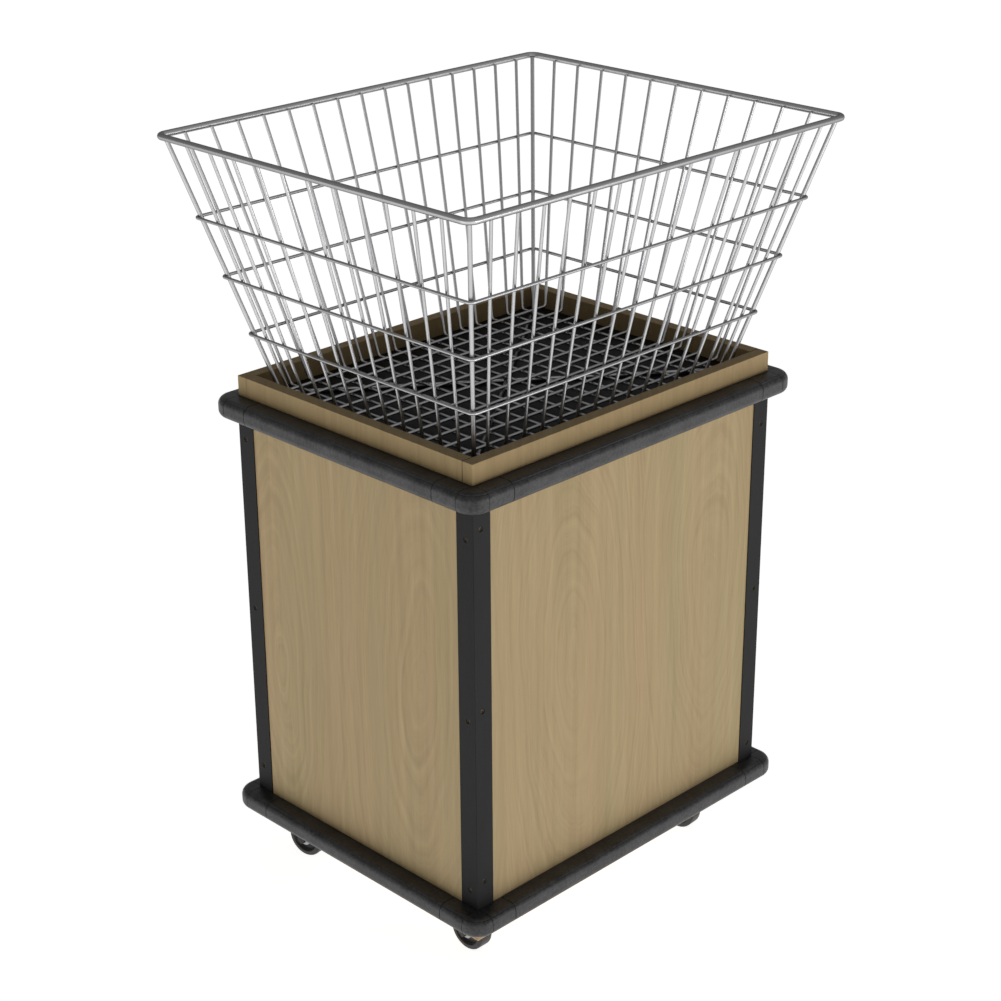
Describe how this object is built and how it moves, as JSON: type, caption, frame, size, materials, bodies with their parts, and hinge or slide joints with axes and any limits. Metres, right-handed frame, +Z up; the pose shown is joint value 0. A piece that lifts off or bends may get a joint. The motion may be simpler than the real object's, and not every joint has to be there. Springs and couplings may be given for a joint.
{
  "type": "retail dump bin",
  "caption": "Wheeled promotional dump bin: wood cabinet with steel corner angles and rubber bumper bands, topped by a flared lift-off wire basket.",
  "frame": {"origin": "on the floor, under the middle of the cabinet and the basket", "axes": "+Z up; X along the long side; the long sides face -Y (front) and +Y (rear)"},
  "size_m": [0.7478, 0.6244, 1.169],
  "materials": {
    "birch_panel": "clear satin birch veneer, upright cathedral grain",
    "birch_collar": "clear satin birch",
    "plain_ply": "unfinished plywood",
    "black_laminate": "black laminate faced board",
    "angle_paint": "dark grey textured powder coat",
    "screw_bronze": "dark bronze plated",
    "bumper_rubber": "dark grey moulded rubber, fine grain",
    "caster_zinc": "bright zinc plate",
    "axle_steel": "black oxide",
    "wheel_rubber": "black moulded rubber",
    "basket_wire": "bright zinc plated round wire"
  },
  "bodies": {
    "cabinet": {"front_panel": "birch_panel", "rear_panel": "birch_panel", "left_panel": "birch_panel", "right_panel": "birch_panel", "front_collar_board": "birch_collar", "rear_collar_board": "birch_collar", "left_collar_board": "birch_collar", "right_collar_board": "birch_collar", "base_board": "plain_ply", "deck_board": "black_laminate", "front_left_corner_angle": "angle_paint", "front_right_corner_angle": "angle_paint", "rear_left_corner_angle": "angle_paint", "rear_right_corner_angle": "angle_paint", "angle_screws": "screw_bronze", "front_bottom_bumper": "bumper_rubber", "rear_bottom_bumper": "bumper_rubber", "left_bottom_bumper": "bumper_rubber", "right_bottom_bumper": "bumper_rubber", "front_left_bottom_bumper_corner": "bumper_rubber", "front_right_bottom_bumper_corner": "bumper_rubber", "rear_left_bottom_bumper_corner": "bumper_rubber", "rear_right_bottom_bumper_corner": "bumper_rubber", "front_top_bumper": "bumper_rubber", "rear_top_bumper": "bumper_rubber", "left_top_bumper": "bumper_rubber", "right_top_bumper": "bumper_rubber", "front_left_top_bumper_corner": "bumper_rubber", "front_right_top_bumper_corner": "bumper_rubber", "rear_left_top_bumper_corner": "bumper_rubber", "rear_right_top_bumper_corner": "bumper_rubber", "front_left_caster_plate": "caster_zinc", "front_right_caster_plate": "caster_zinc", "rear_left_caster_plate": "caster_zinc", "rear_right_caster_plate": "caster_zinc", "caster_bolts": "caster_zinc", "caster_kingpins": "caster_zinc"},
    "basket": {"basket_rim": "basket_wire", "upper_hoop": "basket_wire", "middle_hoop": "basket_wire", "lower_hoop": "basket_wire", "long_side_wires": "basket_wire", "short_side_wires": "basket_wire", "corner_wires": "basket_wire"},
    "front_left_swivel": {"front_left_caster_fork": "caster_zinc", "front_left_axle_bolt": "axle_steel", "front_left_axle_nut": "axle_steel"},
    "front_left_roller": {"front_left_wheel": "wheel_rubber"},
    "front_right_swivel": {"front_right_caster_fork": "caster_zinc", "front_right_axle_bolt": "axle_steel", "front_right_axle_nut": "axle_steel"},
    "front_right_roller": {"front_right_wheel": "wheel_rubber"},
    "rear_left_swivel": {"rear_left_caster_fork": "caster_zinc", "rear_left_axle_bolt": "axle_steel", "rear_left_axle_nut": "axle_steel"},
    "rear_left_roller": {"rear_left_wheel": "wheel_rubber"},
    "rear_right_swivel": {"rear_right_caster_fork": "caster_zinc", "rear_right_axle_bolt": "axle_steel", "rear_right_axle_nut": "axle_steel"},
    "rear_right_roller": {"rear_right_wheel": "wheel_rubber"}
  },
  "joints": [
    {"name": "basket_lift", "type": "slide", "parent": "cabinet", "child": "basket", "axis": [0, 0, 1], "range_m": [0, 0.4]},
    {"name": "front_left_caster_swivel", "type": "hinge", "parent": "cabinet", "child": "front_left_swivel", "pos_m": [-0.2374, -0.1829, 0.07], "axis": [0, 0, 1], "continuous": true},
    {"name": "front_left_wheel_roll", "type": "hinge", "parent": "front_left_swivel", "child": "front_left_roller", "pos_m": [-0.2374, -0.1589, 0.03175], "axis": [1, 0, 0], "continuous": true},
    {"name": "front_right_caster_swivel", "type": "hinge", "parent": "cabinet", "child": "front_right_swivel", "pos_m": [0.2374, -0.1829, 0.07], "axis": [0, 0, 1], "continuous": true},
    {"name": "front_right_wheel_roll", "type": "hinge", "parent": "front_right_swivel", "child": "front_right_roller", "pos_m": [0.23573, -0.15896, 0.03175], "axis": [0.9976, 0.0698, 0], "continuous": true},
    {"name": "rear_left_caster_swivel", "type": "hinge", "parent": "cabinet", "child": "rear_left_swivel", "pos_m": [-0.2374, 0.1829, 0.07], "axis": [0, 0, 1], "continuous": true},
    {"name": "rear_left_wheel_roll", "type": "hinge", "parent": "rear_left_swivel", "child": "rear_left_roller", "pos_m": [-0.24074, 0.20667, 0.03175], "axis": [0.9903, 0.1392, 0], "continuous": true},
    {"name": "rear_right_caster_swivel", "type": "hinge", "parent": "cabinet", "child": "rear_right_swivel", "pos_m": [0.2374, 0.1829, 0.07], "axis": [0, 0, 1], "continuous": true},
    {"name": "rear_right_wheel_roll", "type": "hinge", "parent": "rear_right_swivel", "child": "rear_right_roller", "pos_m": [0.23241, 0.20638, 0.03175], "axis": [0.9781, 0.2079, 0], "continuous": true}
  ]
}
